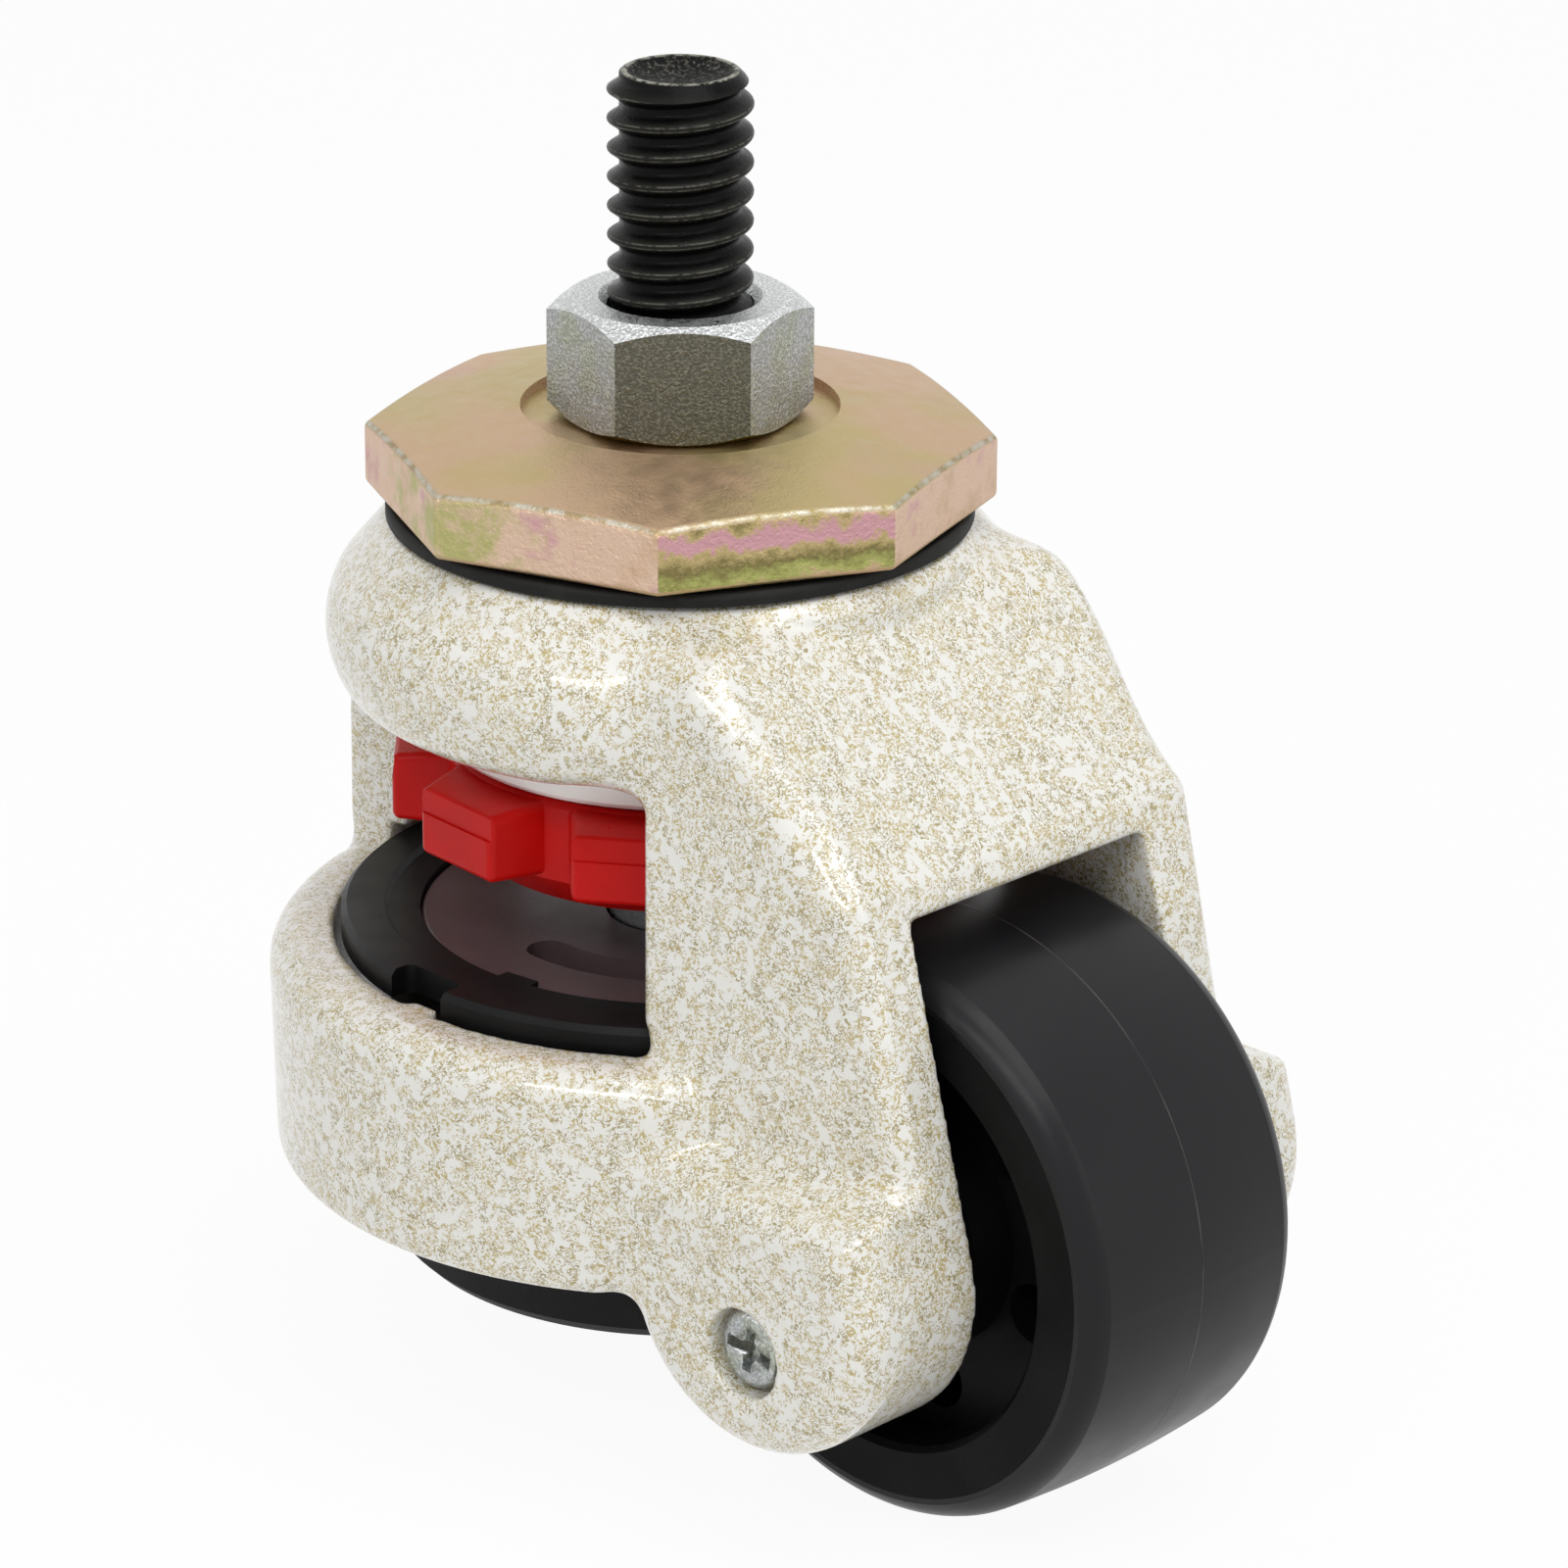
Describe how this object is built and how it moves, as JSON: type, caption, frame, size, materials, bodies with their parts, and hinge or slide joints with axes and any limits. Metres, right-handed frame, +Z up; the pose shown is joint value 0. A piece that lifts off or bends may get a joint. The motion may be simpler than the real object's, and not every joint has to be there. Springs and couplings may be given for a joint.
{
  "type": "levelling castor",
  "caption": "Swivel castor with a threaded stud and a black wheel, whose cast housing holds a levelling foot that a red hand knob lowers through side windows.",
  "frame": {"origin": "centre of the lock nut's top face, on the stud's axis, where the machine's foot comes to rest", "axes": "+Z up along the stud, +X from the swivel axis towards the wheel, Y along the wheel's axle"},
  "size_m": [0.0943, 0.0696, 0.1133],
  "materials": {
    "black_oxide_steel": "satin",
    "bright_zinc_steel": "satin",
    "yellow_zinc_steel": "satin",
    "bearing_steel": "satin",
    "seal_rubber": "matte",
    "cream_paint": "gloss",
    "white_nylon": "satin",
    "red_nylon": "satin",
    "brown_nylon": "satin",
    "black_nylon": "satin",
    "wheel_black": "satin",
    "sole_rubber": "matte",
    "brass": "satin"
  },
  "bodies": {
    "base": {"threaded_stud": "black_oxide_steel", "lock_nut": "bright_zinc_steel", "swivel_plate": "yellow_zinc_steel", "king_sleeve": "bearing_steel", "plate_race": "bearing_steel"},
    "housing": {"housing": "cream_paint", "bearing_seal": "seal_rubber", "housing_race": "bearing_steel", "upper_balls": "bearing_steel", "lower_race": "bearing_steel", "lower_balls": "bearing_steel", "thrust_washer": "white_nylon", "wheel_axle": "bearing_steel", "retaining_screws": "bright_zinc_steel", "leg_washers": "bearing_steel", "bearing_inner_rings": "bearing_steel", "axle_spacer": "bearing_steel"},
    "knob": {"adjusting_knob": "red_nylon", "adjusting_screw": "bearing_steel", "snap_ring": "bearing_steel"},
    "pad": {"pad_body": "black_nylon", "pad_plate": "brown_nylon", "threaded_sleeve": "brass", "pad_sole": "sole_rubber"},
    "wheel": {"wheel_core": "black_nylon", "wheel_tyre": "wheel_black", "bearing_outer_rings": "bearing_steel"}
  },
  "joints": [
    {"name": "swivel", "type": "hinge", "parent": "base", "child": "housing", "pos_m": [0, 0, -0.02], "axis": [0, 0, 1], "continuous": true},
    {"name": "wheel_spin", "type": "hinge", "parent": "housing", "child": "wheel", "pos_m": [0.0345, 0, -0.06927], "axis": [0, 1, 0], "continuous": true},
    {"name": "pad_slide", "type": "slide", "parent": "housing", "child": "pad", "axis": [0, 0, -1], "range_m": [0, 0.014]},
    {"name": "knob_turn", "type": "hinge", "parent": "housing", "child": "knob", "pos_m": [0, 0, -0.043], "axis": [0, 0, 1], "range_deg": [0, 2520]}
  ],
  "couplings": [
    {"joint": "knob_turn", "follows": "pad_slide", "rad_per_m": 3141.6}
  ]
}
